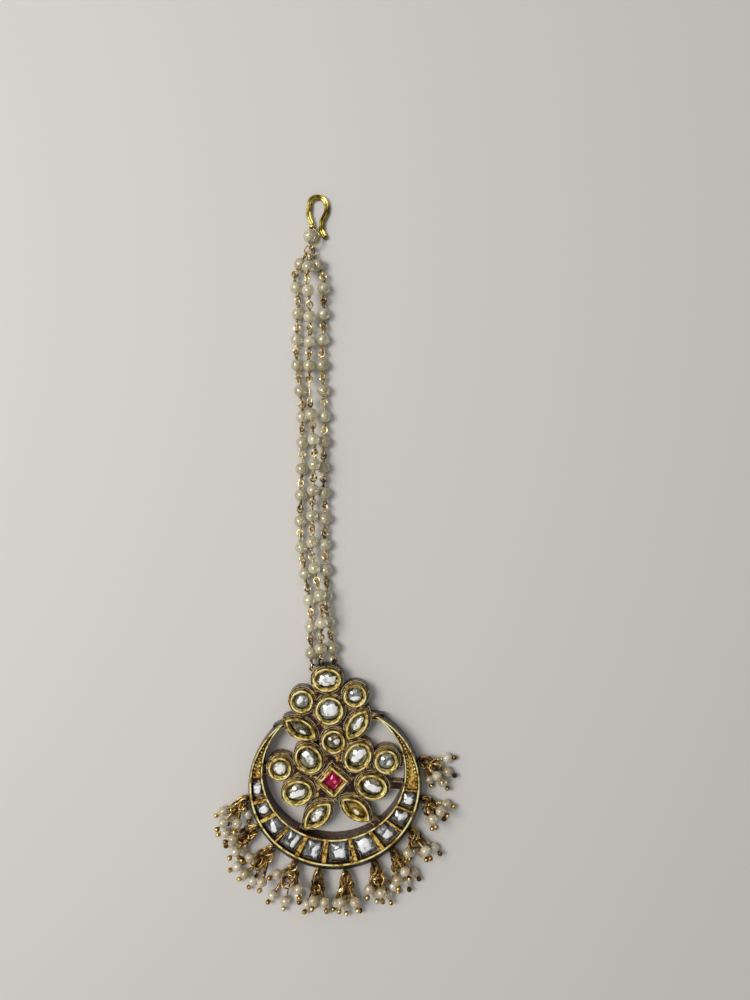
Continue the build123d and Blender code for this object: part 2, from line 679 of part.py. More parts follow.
def drop_pin(straight, stem_start, ball):
    """A drop's wire, running along X from the staple at the origin: a long flat loop, then a stem."""
    with BuildPart() as pin:
        with BuildLine() as loop:
            near = CenterArc((LOOP_OFFSET, 0), LOOP_RADIUS, 90, 180)
            far = CenterArc((LOOP_OFFSET + straight, 0), LOOP_RADIUS, -90, 180)
            Line(near @ 1, far @ 0)
            Line(far @ 1, near @ 0)
        with BuildSketch(Plane(origin=loop.line @ 0, z_dir=loop.line % 0)):
            Circle(WIRE)
        sweep(path=loop.line)
        with Locations(Plane(origin=(stem_start + ball) / 2, z_dir=ball - stem_start)):
            Cylinder(STEM, (ball - stem_start).length)
        with Locations(ball):
            Sphere(DROP_BALL_RADIUS)
    return pin.part


def build_bunch(number, bunch):
    pins = []
    pearl_planes = []
    for index, drop in enumerate(bunch.drops):
        eye_z = FIRST_EYE_Z + EYE_STEP * index
        staple = staple_point(bunch.angle, eye_z)
        heading = radians(bunch.angle + PENDANT_TURN + drop.turn)
        out = Vector(cos(heading), sin(heading), 0)
        straight = LOOP_SHARE * max(drop.reach - LOOP_START, 0.5)
        stem_start = Vector(LOOP_OFFSET + straight + LOOP_RADIUS, 0, 0)
        pearl = Vector(drop.reach, 0, drop.z - eye_z)
        along = (pearl - stem_start).normalized()
        ball = pearl + along * BALL_SPACING
        place = Plane(origin=staple, x_dir=out, z_dir=UP)
        pins.append(drop_pin(straight, stem_start, ball).moved(place.location))
        pearl_planes.append(
            Plane(origin=place.from_local_coords(pearl), z_dir=out * along.X + UP * along.Z)
        )
    with BuildPart() as wires:
        add(pins)
    keep(wires, f"fringe_{number}_pins")
    with BuildPart() as pearls:
        with Locations(*pearl_planes):
            Sphere(DROP_PEARL_RADIUS)
            Cylinder(BORE_RADIUS, 4 * DROP_PEARL_RADIUS, mode=Mode.SUBTRACT)
    keep(pearls, f"fringe_{number}_pearls")


def export_all():
    """Moves the origin under the middle of the jewel, on the surface, and writes every piece."""
    boxes = [piece.bounding_box() for piece in finished]
    low_x, high_x = min(b.min.X for b in boxes), max(b.max.X for b in boxes)
    low_y, high_y = min(b.min.Y for b in boxes), max(b.max.Y for b in boxes)
    low_z = min(b.min.Z for b in boxes)
    shift = Vector(-(low_x + high_x) / 2, -(low_y + high_y) / 2, -low_z)
    os.makedirs("parts", exist_ok=True)
    for piece in finished:
        name = piece.label
        moved = piece.moved(Location(shift))
        moved.label = name
        export_step(moved, f"parts/{name}.step")
    print(f"origin moved by {-shift.X:.3f} {-shift.Y:.3f} {-shift.Z:.3f} from the pendant's middle")
    print(f"size {high_x - low_x:.2f} x {high_y - low_y:.2f}")


build_pendant_frame()
build_stones()
build_crescent_stones()
for strand in STRANDS:
    build_strand(strand)
build_hook_end()
for number, bunch in enumerate(FRINGE, start=1):
    build_bunch(number, bunch)
export_all()
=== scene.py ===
import math
import random
from collections import namedtuple

import bmesh
import bpy
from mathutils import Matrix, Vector


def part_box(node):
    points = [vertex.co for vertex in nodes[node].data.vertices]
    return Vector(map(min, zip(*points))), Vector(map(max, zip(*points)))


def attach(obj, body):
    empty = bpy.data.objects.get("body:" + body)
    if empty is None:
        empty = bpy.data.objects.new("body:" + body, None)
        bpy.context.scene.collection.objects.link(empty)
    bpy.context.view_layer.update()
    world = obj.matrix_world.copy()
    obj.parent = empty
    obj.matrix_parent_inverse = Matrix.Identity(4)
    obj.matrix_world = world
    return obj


# A maang tikka lying on a pale floor, seen from straight above. Metres, in the CAD frame.

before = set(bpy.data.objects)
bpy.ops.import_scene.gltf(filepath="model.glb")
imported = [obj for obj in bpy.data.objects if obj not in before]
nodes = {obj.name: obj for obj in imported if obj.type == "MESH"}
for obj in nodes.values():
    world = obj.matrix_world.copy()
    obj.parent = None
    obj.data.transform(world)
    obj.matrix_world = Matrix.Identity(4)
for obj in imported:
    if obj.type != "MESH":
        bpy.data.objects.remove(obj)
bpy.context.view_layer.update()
MM = 0.001

# Sizes of the CAD pieces that the looks follow.
STEM_RADIUS = 0.175 * MM  # the straight wire between two eyes
STRAND_PEARL_RADIUS = 1.45 * MM
DROP_PEARL_RADIUS = 1.15 * MM
FOOT_Z = 3.3 * MM  # top of the collets' wider feet
RIM_Z = 4.5 * MM  # top of the gold rims


def add_object(name, data):
    """A new object in the scene."""
    made = bpy.data.objects.new(name, data)
    bpy.context.scene.collection.objects.link(made)
    return made


# ---- Camera: straight above, looking down, +Y up in the picture ----

CAMERA_PLACE = (9.2 * MM, 12.79 * MM, 175.24 * MM)
SENSOR_WIDTH, LENS = 36.0, 26.85  # in millimetres, as Blender has them

camera_data = bpy.data.cameras.new("camera")
camera_data.sensor_width = SENSOR_WIDTH
camera_data.lens = LENS
camera_data.clip_start = 0.01
camera = add_object("camera", camera_data)
camera.location = CAMERA_PLACE
bpy.context.scene.camera = camera


# ---- Small helpers ----


def new_material(name):
    """A material with its node tree and its one shader."""
    material = bpy.data.materials.new(name)
    material.use_nodes = True
    tree = material.node_tree
    return material, tree, tree.nodes["Principled BSDF"]


def node(tree, kind, **settings):
    """Adds a node and sets its properties."""
    made = tree.nodes.new(kind)
    for key, value in settings.items():
        setattr(made, key, value)
    return made


def ramp(tree, source, stops):
    """A colour ramp fed by source, from a list of (position, colour)."""
    made = tree.nodes.new("ShaderNodeValToRGB")
    elements = made.color_ramp.elements
    while len(elements) < len(stops):
        elements.new(0.5)
    for element, (position, colour) in zip(elements, stops):
        element.position = position
        element.color = (*colour, 1.0)
    tree.links.new(source, made.inputs["Fac"])
    return made.outputs["Color"]


def mix(tree, factor, first, second, blend="MIX"):
    """Mixes two colours. Each input is a socket or a plain value."""
    made = node(tree, "ShaderNodeMix", data_type="RGBA", blend_type=blend)
    for value, number in ((factor, 0), (first, 6), (second, 7)):
        socket = made.inputs[number]
        if hasattr(value, "links"):
            tree.links.new(value, socket)
        elif isinstance(value, tuple):
            socket.default_value = (*value, 1.0)
        else:
            socket.default_value = value
    return made.outputs[2]


def maths(tree, operation, first, second, clamp=False):
    """One sum of two values. Each is a socket or a number."""
    made = node(tree, "ShaderNodeMath", operation=operation, use_clamp=clamp)
    for value, socket in ((first, made.inputs[0]), (second, made.inputs[1])):
        if hasattr(value, "links"):
            tree.links.new(value, socket)
        else:
            socket.default_value = value
    return made.outputs[0]


def ranged(tree, source, low, high, to_low=0.0, to_high=1.0):
    """Maps low to high onto to_low to to_high, and holds the ends."""
    made = node(tree, "ShaderNodeMapRange")
    tree.links.new(source, made.inputs[0])
    made.inputs[1].default_value = low
    made.inputs[2].default_value = high
    made.inputs[3].default_value = to_low
    made.inputs[4].default_value = to_high
    return made.outputs[0]


def place(tree):
    """Position on the object, in metres."""
    return node(tree, "ShaderNodeTexCoord").outputs["Object"]


def parts_of(tree, vector):
    """The X, Y and Z of a vector."""
    split = node(tree, "ShaderNodeSeparateXYZ")
    tree.links.new(vector, split.inputs[0])
    return split.outputs["X"], split.outputs["Y"], split.outputs["Z"]


def within(tree, vector, centre, turn=0.0, scale=(1, 1, 1)):
    """The vector in a frame with this centre, turn about Z and scale."""
    inner = node(tree, "ShaderNodeMapping", vector_type="TEXTURE")
    inner.inputs["Location"].default_value = centre
    inner.inputs["Rotation"].default_value = (0, 0, turn)
    inner.inputs["Scale"].default_value = scale
    tree.links.new(vector, inner.inputs["Vector"])
    return inner.outputs[0]


def flat_length(tree, vector):
    """Distance from the origin across X and Y."""
    flat = node(tree, "ShaderNodeVectorMath", operation="MULTIPLY")
    flat.inputs[1].default_value = (1, 1, 0)
    tree.links.new(vector, flat.inputs[0])
    length = node(tree, "ShaderNodeVectorMath", operation="LENGTH")
    tree.links.new(flat.outputs[0], length.inputs[0])
    return length.outputs["Value"]


def noise(tree, vector, size, detail=2.0):
    """Noise whose lumps are about size metres across."""
    made = node(tree, "ShaderNodeTexNoise")
    made.inputs["Scale"].default_value = 1.0 / size
    made.inputs["Detail"].default_value = detail
    tree.links.new(vector, made.inputs["Vector"])
    return made.outputs["Fac"]


def bump(tree, height, strength, distance):
    """A normal from a height, for grain too fine to model."""
    made = node(tree, "ShaderNodeBump")
    made.inputs["Strength"].default_value = strength
    made.inputs["Distance"].default_value = distance
    tree.links.new(height, made.inputs["Height"])
    return made.outputs["Normal"]


def openness(tree, distance):
    """1 in the open and lower in a recess, looking round within distance."""
    made = node(tree, "ShaderNodeAmbientOcclusion", samples=6)
    made.inputs["Distance"].default_value = distance
    return made.outputs["AO"]


def varied_noise(tree, vector, size, spread):
    """Noise that also shifts from one loose solid to the next, by half of spread at most."""
    geometry = node(tree, "ShaderNodeNewGeometry")
    island = maths(tree, "SUBTRACT", geometry.outputs["Random Per Island"], 0.5)
    shift = maths(tree, "MULTIPLY", island, spread)
    return maths(tree, "ADD", noise(tree, vector, size, 3), shift)


def cover(name, material):
    """Gives a CAD node its one material."""
    slots = nodes[name].data.materials
    slots.clear()
    slots.append(material)


# ---- Materials ----

# Where the pendant lies: its middle is near the red stone, and it is turned a little. The ovals
# of the crescent are given from that middle, in the turned plane.
PENDANT_TURN = math.radians(4.25)
red_low, red_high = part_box("red_stone")
PENDANT_MIDDLE = (Vector(red_low) + Vector(red_high)) / 2 + Vector((0.29, 0.02, 0)) * MM
OUTER_MIDDLE = (-0.02 * MM, -0.83 * MM)
OUTER_RADII = (19.45 * MM, 18.29 * MM)
INNER_MIDDLE = (0.04 * MM, 2.35 * MM)
INNER_RADII = (16.4 * MM, 15.49 * MM)
HORN_TIP_Y = 14.7 * MM
TOP_EYES_Y = 26.55 * MM  # the strands' soldered eyes lie beyond


def pendant_place(tree):
    """Position in the pendant's own plane: across it, and along it."""
    return within(tree, place(tree), (PENDANT_MIDDLE.x, PENDANT_MIDDLE.y, 0), PENDANT_TURN)


def beyond_oval(tree, local, centre, radii, start, full):
    """Rises from 0 to 1 where the distance from centre passes start to full times the radii."""
    oval = within(tree, local, (*centre, 0), scale=(*radii, 1))
    return ranged(tree, flat_length(tree, oval), start, full)


def outside_crescent(tree, local):
    """1 beyond the crescent's outer rim and at the strands' soldered eyes, else 0."""
    beyond = beyond_oval(tree, local, OUTER_MIDDLE, OUTER_RADII, 1.002, 1.012)
    along = parts_of(tree, local)[1]
    below_tips = ranged(tree, along, HORN_TIP_Y + 0.1 * MM, HORN_TIP_Y - 0.1 * MM)
    top_eyes = ranged(tree, along, TOP_EYES_Y - 0.15 * MM, TOP_EYES_Y + 0.15 * MM)
    crescent = maths(tree, "MULTIPLY", beyond, below_tips, True)
    return maths(tree, "MAXIMUM", crescent, top_eyes)


def edge_mask(tree, radius, start, full):
    """1 along edges, where the rounded normal leaves the true one."""
    rounded = node(tree, "ShaderNodeBevel", samples=6)
    rounded.inputs["Radius"].default_value = radius
    geometry = node(tree, "ShaderNodeNewGeometry")
    agree = node(tree, "ShaderNodeVectorMath", operation="DOT_PRODUCT")
    tree.links.new(rounded.outputs[0], agree.inputs[0])
    tree.links.new(geometry.outputs["True Normal"], agree.inputs[1])
    return ranged(tree, agree.outputs["Value"], 1 - start, 1 - full)


def gold_material():
    """Antique gold: bright rims, olive slopes, and a near-black plate and feet with edges
    brightened by wear and painted highlight; recesses darkened by patina and painted shade.
    """
    material, tree, shader = new_material("antique_gold")
    vector = place(tree)
    height = parts_of(tree, vector)[2]
    geometry = node(tree, "ShaderNodeNewGeometry")
    facing_up = parts_of(tree, geometry.outputs["True Normal"])[2]
    sky_seen = openness(tree, 0.9 * MM)
    recess = ranged(tree, sky_seen, 0.85, 0.25)
    blotch = noise(tree, vector, 0.9 * MM, 4)
    flecks = noise(tree, vector, 0.45 * MM, 5)
    pools = noise(tree, vector, 1.1 * MM, 5)

    # Low parts: almost black, with flecks of gold and red-brown.
    low = ramp(tree, pools, [
        (0.42, (0.020, 0.007, 0.006)),
        (0.53, (0.060, 0.022, 0.012)),
        (0.60, (0.30, 0.13, 0.030)),
        (0.66, (0.95, 0.68, 0.24)),
    ])
    # Slopes: olive to yellow gold.
    slope = ramp(tree, blotch, [
        (0.36, (0.11, 0.068, 0.010)),
        (0.50, (0.40, 0.285, 0.048)),
        (0.62, (1.0, 0.84, 0.28)),
    ])
    # Upright walls: brown gold.
    wall = ramp(tree, blotch, [
        (0.36, (0.085, 0.036, 0.007)),
        (0.52, (0.22, 0.105, 0.017)),
        (0.68, (0.60, 0.38, 0.075)),
    ])
    # Bars and grains: orange gold, mottled.
    lumps = maths(tree, "MULTIPLY", maths(tree, "ADD", flecks, blotch), 0.5)
    orange = ramp(tree, lumps, [
        (0.38, (0.10, 0.032, 0.005)),
        (0.49, (0.60, 0.32, 0.040)),
        (0.59, (1.0, 0.78, 0.22)),
    ])
    # Rims: pale bright gold.
    bright = ramp(tree, noise(tree, vector, 1.3 * MM, 3), [
        (0.38, (0.28, 0.165, 0.028)),
        (0.46, (0.84, 0.61, 0.15)),
        (0.58, (1.0, 0.89, 0.44)),
    ])
    # The crescent's own walls are much darker than the collets'.
    local = pendant_place(tree)
    band = beyond_oval(tree, local, INNER_MIDDLE, INNER_RADII, 0.97, 0.985)
    dark_wall = mix(tree, 1.0, wall, (0.30, 0.20, 0.16), "MULTIPLY")
    wall = mix(tree, band, wall, dark_wall)

    # Each tone goes to its slope and height.
    colour = mix(tree, ranged(tree, facing_up, 0.12, 0.35), wall, slope)
    flat = ranged(tree, facing_up, 0.9, 0.97)
    low_flat = ranged(tree, height, FOOT_Z + 0.2 * MM, FOOT_Z + 0.05 * MM)
    colour = mix(tree, maths(tree, "MULTIPLY", flat, low_flat), colour, low)
    middle = maths(tree, "MULTIPLY",
                   ranged(tree, height, FOOT_Z + 0.1 * MM, FOOT_Z + 0.3 * MM),
                   ranged(tree, height, RIM_Z - 0.05 * MM, RIM_Z - 0.12 * MM))
    colour = mix(tree, maths(tree, "MULTIPLY", flat, middle), colour, orange)
    high = ranged(tree, height, RIM_Z - 0.08 * MM, RIM_Z - 0.02 * MM)
    high_flat = maths(tree, "MULTIPLY", flat, high)
    colour = mix(tree, high_flat, colour, bright)
    # Patina and painted shade: darker in recesses and between parts, where little of the sky is
    # seen.
    colour = mix(tree, recess, colour, (0.045, 0.018, 0.008))

    # Wear and painted highlight: bright gold along the outer edges of the feet and the plate.
    edge = edge_mask(tree, 0.22 * MM, 0.01, 0.05)
    below = ranged(tree, height, FOOT_Z + 0.3 * MM, FOOT_Z + 0.1 * MM)
    wear_and_highlight = maths(tree, "MULTIPLY", edge, ranged(tree, sky_seen, 0.4, 0.6))
    wear_and_highlight = maths(tree, "MULTIPLY", wear_and_highlight, ranged(tree, blotch, 0.36, 0.48))
    wear_and_highlight = maths(tree, "MULTIPLY", wear_and_highlight, below)
    colour = mix(tree, wear_and_highlight, colour, (1.0, 0.88, 0.46))

    # The outer slope with its staples and the soldered eyes: black.
    black = ramp(tree, flecks, [
        (0.5, (0.012, 0.009, 0.006)),
        (0.66, (0.06, 0.045, 0.02)),
        (0.78, (0.45, 0.34, 0.14)),
    ])
    colour = mix(tree, outside_crescent(tree, local), colour, black)
    tree.links.new(colour, shader.inputs["Base Color"])
    tree.links.new(ranged(tree, blotch, 0.3, 0.7, 0.42, 0.22), shader.inputs["Roughness"])
    tree.links.new(ranged(tree, high_flat, 0, 1, 0.5, 0.35), shader.inputs["Metallic"])
    fine = noise(tree, vector, 0.3 * MM, 3)
    tree.links.new(bump(tree, fine, 0.35, 0.07 * MM), shader.inputs["Normal"])
    return material


def wire_material(name, stops, size=1.3 * MM):
    """Worn wire, with painted shade where other parts hem it in. The tone changes from piece to
    piece and along each, in patches of this size.
    """
    material, tree, shader = new_material(name)
    vector = place(tree)
    patch = varied_noise(tree, vector, size, 0.18)
    # Painted shade: the colour darkens where little of the sky is seen, between and under other
    # parts.
    shade = ranged(tree, openness(tree, 0.8 * MM), 0.2, 0.85, 0.25, 1.0)
    colour = mix(tree, 1.0, ramp(tree, patch, stops), shade, "MULTIPLY")
    tree.links.new(colour, shader.inputs["Base Color"])
    tree.links.new(ranged(tree, patch, 0.3, 0.7, 0.40, 0.22), shader.inputs["Roughness"])
    shader.inputs["Metallic"].default_value = 0.95
    fine = noise(tree, vector, 0.25 * MM, 2)
    tree.links.new(bump(tree, fine, 0.2, 0.03 * MM), shader.inputs["Normal"])
    return material


def pearl_material(name, stops, see_through):
    """Glass pearls: a cloudy body that lets some light through, under a clear coat."""
    material, tree, shader = new_material(name)
    cloud = varied_noise(tree, place(tree), 1.5 * MM, 0.3)
    tree.links.new(ramp(tree, cloud, stops), shader.inputs["Base Color"])
    tree.links.new(ranged(tree, cloud, 0.3, 0.7, 0.32, 0.2), shader.inputs["Roughness"])
    for socket, value in (
        ("Transmission Weight", see_through),
        ("IOR", 1.42),
        ("Subsurface Weight", 0.2),
        ("Subsurface Radius", (1.0, 0.85, 0.6)),
        ("Subsurface Scale", 0.8 * MM),
        ("Coat Weight", 1.0),
        ("Coat Roughness", 0.06),
        ("Coat IOR", 1.85),
    ):
        shader.inputs[socket].default_value = value
    return material


# How each stone looks: the middle of its white patch, a painted highlight, from the stone's own,
# the patch's half length and half width, all in millimetres, the way it points in degrees, and its
# tones. The patches of the crescent's square stones are then made larger by SQUARE_GROWTH.
Look = namedtuple("Look", "x y long wide turn tones")
# The tones run from the darkest painted reflection up to the painted highlight.
CLEAR = [
    (0.0, (0.018, 0.014, 0.008)),
    (0.22, (0.12, 0.105, 0.048)),
    (0.42, (0.30, 0.28, 0.19)),
    (0.62, (0.58, 0.57, 0.50)),
    (0.85, (1.0, 1.0, 1.0)),
]
SILVER = [
    (0.0, (0.02, 0.018, 0.015)),
    (0.25, (0.17, 0.165, 0.14)),
    (0.5, (0.42, 0.42, 0.40)),
    (0.68, (0.80, 0.80, 0.82)),
    (0.85, (1.0, 1.0, 1.0)),
]
SMOKY = [
    (0.0, (0.015, 0.010, 0.006)),
    (0.30, (0.085, 0.068, 0.026)),
    (0.55, (0.22, 0.19, 0.09)),
    (0.75, (0.58, 0.52, 0.38)),
    (0.92, (1.0, 0.96, 0.93)),
]
YELLOW = [
    (0.0, (0.05, 0.025, 0.003)),
    (0.30, (0.26, 0.15, 0.012)),
    (0.55, (0.52, 0.34, 0.035)),
    (0.80, (0.95, 0.72, 0.25)),
    (0.95, (1.0, 0.96, 0.82)),
]
RED = [
    (0.0, (0.12, 0.0, 0.020)),
    (0.25, (0.30, 0.0, 0.050)),
    (0.50, (0.50, 0.001, 0.095)),
    (0.90, (0.98, 0.14, 0.28)),
]
BLUE = [
    (0.0, (0.010, 0.010, 0.010)),
    (0.20, (0.080, 0.078, 0.070)),
    (0.42, (0.22, 0.225, 0.225)),
    (0.62, (0.54, 0.55, 0.57)),
    (0.82, (1.0, 1.0, 1.0)),
]
LOOKS = {
    "crown_stone": Look(0.1, -0.2, 2.1, 1.25, 4, CLEAR),
    "left_shoulder_stone": Look(-0.4, 0.3, 0.9, 0.6, 60, SILVER),
    "right_shoulder_stone": Look(-0.1, -0.6, 1.2, 0.5, 10, SILVER),
    "heart_stone": Look(0.0, 0.0, 1.6, 1.5, 0, SILVER),
    "left_upper_leaf_stone": Look(0.4, -0.6, 0.9, 0.35, -35, SMOKY),
    "right_upper_leaf_stone": Look(0.3, 0.3, 1.8, 0.65, 55, CLEAR),
    "middle_stone": Look(0.8, 0.1, 0.7, 0.7, 0, SMOKY),
    "left_upper_petal_stone": Look(0.1, 0.1, 1.7, 0.75, -55, CLEAR),
    "right_upper_petal_stone": Look(0.1, 0.2, 2.0, 0.95, 40, CLEAR),
    "left_side_stone": Look(0.1, -0.1, 1.1, 1.1, 0, CLEAR),
    "right_side_stone": Look(0.6, -0.3, 0.7, 0.5, 30, SILVER),
    "red_stone": Look(0.4, 0.1, 0.35, 0.35, 0, RED),
    "left_lower_petal_stone": Look(0.0, -0.2, 1.9, 0.8, 20, CLEAR),
    "right_lower_petal_stone": Look(0.1, -0.1, 2.0, 0.8, -22, CLEAR),
    "left_lower_leaf_stone": Look(0.0, 0.0, 1.7, 0.6, 50, CLEAR),
    "right_lower_leaf_stone": Look(0.2, -0.6, 0.8, 0.45, -50, YELLOW),
    "crescent_stone_1": Look(0.0, 0.3, 1.2, 0.7, 90, BLUE),
    "crescent_stone_2": Look(0.1, 0.0, 0.9, 0.8, 0, BLUE),
    "crescent_stone_3": Look(-0.3, 0.0, 1.4, 0.5, -70, BLUE),
    "crescent_stone_4": Look(0.6, -0.4, 1.4, 0.6, 60, BLUE),
    "crescent_stone_5": Look(0.6, -0.3, 1.3, 0.8, 70, BLUE),
    "crescent_stone_6": Look(0.2, -0.2, 1.2, 1.0, 0, BLUE),
    "crescent_stone_7": Look(0.0, 0.0, 1.6, 1.5, 0, BLUE),
    "crescent_stone_8": Look(0.4, -0.2, 1.1, 0.8, 30, BLUE),
    "crescent_stone_9": Look(0.6, 0.2, 1.1, 0.7, 20, BLUE),
    "crescent_stone_10": Look(0.2, -0.3, 1.0, 0.8, 10, BLUE),
}


SQUARE_GROWTH = 1.15
LARGE_CELLS, SMALL_CELLS = 1.5, 3.2  # reflections across half a stone's width
# The white patch on each stone is a painted highlight.
PATCH_WOBBLE = 1.3  # how ragged the white patch's edge is


def voronoi(tree, vector, scale, output, **settings):
    """One output of a Voronoi texture."""
    made = node(tree, "ShaderNodeTexVoronoi", **settings)
    made.inputs["Scale"].default_value = scale
    tree.links.new(vector, made.inputs["Vector"])
    return made.outputs[output]


def stone_material(name, look, centre, reach, seed):
    """A foil-backed cut stone with painted reflections: a white patch of painted highlight, facets
    that each take a painted tone, and a painted darker edge.
    """
    material, tree, shader = new_material(name)
    square = look.tones is BLUE
    vector = place(tree)
    local = within(tree, vector, centre, scale=(reach, reach, reach))

    # Broken reflections of the facets below: two sizes of cells, with dark lines between. Each
    # stone takes them from another place.
    moved = node(tree, "ShaderNodeMapping")
    moved.inputs["Location"].default_value = (seed * 3.1, seed * 1.7, seed * 0.9)
    tree.links.new(local, moved.inputs["Vector"])
    own = moved.outputs[0]
    tones = []
    for scale, channel in ((LARGE_CELLS, 0), (SMALL_CELLS, 1)):
        split = node(tree, "ShaderNodeSeparateColor")
        tree.links.new(voronoi(tree, own, scale, "Color"), split.inputs[0])
        tones.append(split.outputs[channel])
    broken = maths(tree, "ADD",
                   maths(tree, "MULTIPLY", tones[0], 0.55),
                   maths(tree, "MULTIPLY", tones[1], 0.45))
    seams = voronoi(tree, own, LARGE_CELLS, "Distance", feature="DISTANCE_TO_EDGE")
    seam = ranged(tree, seams, 0.01, 0.07, 0.55, 1.0)

    # One painted reflection tone for each crown facet, from the way it faces.
    geometry = node(tree, "ShaderNodeNewGeometry")
    facet = node(tree, "ShaderNodeTexWhiteNoise", noise_dimensions="3D")
    snapped = node(tree, "ShaderNodeVectorMath", operation="SNAP")
    snapped.inputs[1].default_value = (0.03, 0.03, 0.03)
    tree.links.new(geometry.outputs["True Normal"], snapped.inputs[0])
    tree.links.new(snapped.outputs[0], facet.inputs["Vector"])
    body = maths(tree, "ADD",
                 maths(tree, "MULTIPLY", broken, 0.52),
                 maths(tree, "MULTIPLY", facet.outputs["Value"], 0.22))
    body = maths(tree, "MULTIPLY", body, seam)

    # A painted darker reflection round the stone's edge.
    rim = ranged(tree, flat_length(tree, local), 0.8, 1.05)
    rim_depth = 0.08 if square else 0.25
    body = maths(tree, "SUBTRACT", body, maths(tree, "MULTIPLY", rim, rim_depth), True)

    # The white patch of painted highlight, with a ragged edge.
    growth = SQUARE_GROWTH if square else 1.0
    spot = within(
        tree, vector, (centre[0] + look.x * MM, centre[1] + look.y * MM, 0),
        math.radians(look.turn), (look.long * growth * MM, look.wide * growth * MM, 1),
    )
    ragged = maths(tree, "SUBTRACT", noise(tree, own, 1 / 2.4), 0.5)
    wobble = maths(tree, "MULTIPLY", ragged, PATCH_WOBBLE)
    patch = ranged(tree, maths(tree, "ADD", flat_length(tree, spot), wobble), 1.06, 0.9)
    patch = maths(tree, "MULTIPLY", patch, ranged(tree, tones[1], 0.0, 0.2, 0.5, 1.0))
    level = maths(tree, "MAXIMUM", body, patch)
    tree.links.new(ramp(tree, level, look.tones), shader.inputs["Base Color"])
    tree.links.new(ranged(tree, tones[1], 0, 1, 0.05, 0.2), shader.inputs["Roughness"])
    shader.inputs["Metallic"].default_value = 0.3
    shader.inputs["Coat Weight"].default_value = 0.3 if look.tones is RED else 1.0
    shader.inputs["Coat Roughness"].default_value = 0.03
    return material


gold = gold_material()
strand_wire = wire_material("strand_wire", [
    (0.34, (0.10, 0.048, 0.016)),
    (0.46, (0.48, 0.31, 0.11)),
    (0.60, (1.0, 0.82, 0.43)),
])
fringe_wire = wire_material("fringe_wire", [
    (0.34, (0.045, 0.020, 0.007)),
    (0.46, (0.26, 0.13, 0.030)),
    (0.57, (0.66, 0.41, 0.11)),
    (0.68, (1.0, 0.85, 0.44)),
])
hook_gold = wire_material("hook_gold", [
    (0.36, (0.085, 0.052, 0.006)),
    (0.50, (0.34, 0.24, 0.030)),
    (0.64, (0.86, 0.70, 0.20)),
], size=2.2 * MM)
strand_pearl = pearl_material("strand_pearl", [
    (0.25, (0.50, 0.43, 0.22)),
    (0.5, (0.70, 0.63, 0.40)),
    (0.75, (0.88, 0.83, 0.62)),
], 0.55)
fringe_pearl = pearl_material("fringe_pearl", [
    (0.25, (0.56, 0.43, 0.22)),
    (0.5, (0.82, 0.73, 0.53)),
    (0.75, (0.98, 0.95, 0.84)),
], 0.45)

cover("pendant_frame", gold)
cover("hook", hook_gold)
for name in sorted(nodes):
    if name.startswith("fringe_"):
        cover(name, fringe_wire if name.endswith("_pins") else fringe_pearl)
    elif name.endswith("_pins") or name in ("gather_ring", "top_pearl_pin"):
        cover(name, strand_wire)
    elif name.endswith("_pearls") or name == "top_pearl":
        cover(name, strand_pearl)
stones = sorted(n for n in nodes if n.endswith("_stone") or n.startswith("crescent_stone"))
for seed, name in enumerate(stones, start=1):
    corner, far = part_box(name)
    middle = (corner + far) / 2
    reach = 0.5 * min(far.x - corner.x, far.y - corner.y)
    centre = (middle.x, middle.y, far.z)
    cover(name, stone_material(f"cut_{name}", LOOKS[name], centre, reach, seed))


# ---- Wire wraps: the turns that close each eye, and the loose turns at the fringe's roots ----

WRAP_WIRE = 0.115 * MM  # radius
WRAP_PITCH = 2.2 * WRAP_WIRE
SHORTEST_WRAP = 0.18 * MM
OFF_LINE = 0.4 * MM  # a straight pin's points and pearl lie no further from its line
COIL_STEPS = 14  # points in one turn
ROOT_SHARE = 0.35  # how far down a bare stem the loose turns sit

LOOSE_LOOPS = 4
LOOSE_TURNS = 1.15  # turns in one loop
LOOSE_STEPS = 33
LOOSE_WIRE = 0.15 * MM
LOOSE_RISE = 0.35 * MM
LOWEST_LOOSE = 0.35 * MM


def loose_parts(name):
    """The points of each loose solid in a node."""
    builder = bmesh.new()
    builder.from_mesh(nodes[name].data)
    seen = set()
    parts = []
    for first in builder.verts:
        if first.index in seen:
            continue
        seen.add(first.index)
        queue = [first]
        points = []
        while queue:
            vertex = queue.pop()
            points.append(vertex.co.copy())
            for edge in vertex.link_edges:
                other = edge.other_vert(vertex)
                if other.index not in seen:
                    seen.add(other.index)
                    queue.append(other)
        parts.append(points)
    builder.free()
    return parts


def middle_of(points):
    """The mean of some points."""
    return sum(points, Vector((0, 0, 0))) / len(points)


def tube(builder, path, radius, sides=8):
    """Adds a round wire along a path of points, with closed ends."""
    rings = []
    side = None
    for index, point in enumerate(path):
        ahead = path[min(index + 1, len(path) - 1)] - path[max(index - 1, 0)]
        ahead.normalize()
        if side is None:
            side = ahead.orthogonal().normalized()
        side = (side - ahead * side.dot(ahead)).normalized()
        across = ahead.cross(side)
        ring = []
        for step in range(sides):
            turn = 2 * math.pi * step / sides
            offset = side * math.cos(turn) + across * math.sin(turn)
            ring.append(builder.verts.new(point + offset * radius))
        rings.append(ring)
    for one, two in zip(rings, rings[1:]):
        for step in range(sides):
            after = (step + 1) % sides
            builder.faces.new((one[step], one[after], two[after], two[step]))
    builder.faces.new(list(reversed(rings[0])))
    builder.faces.new(rings[-1])


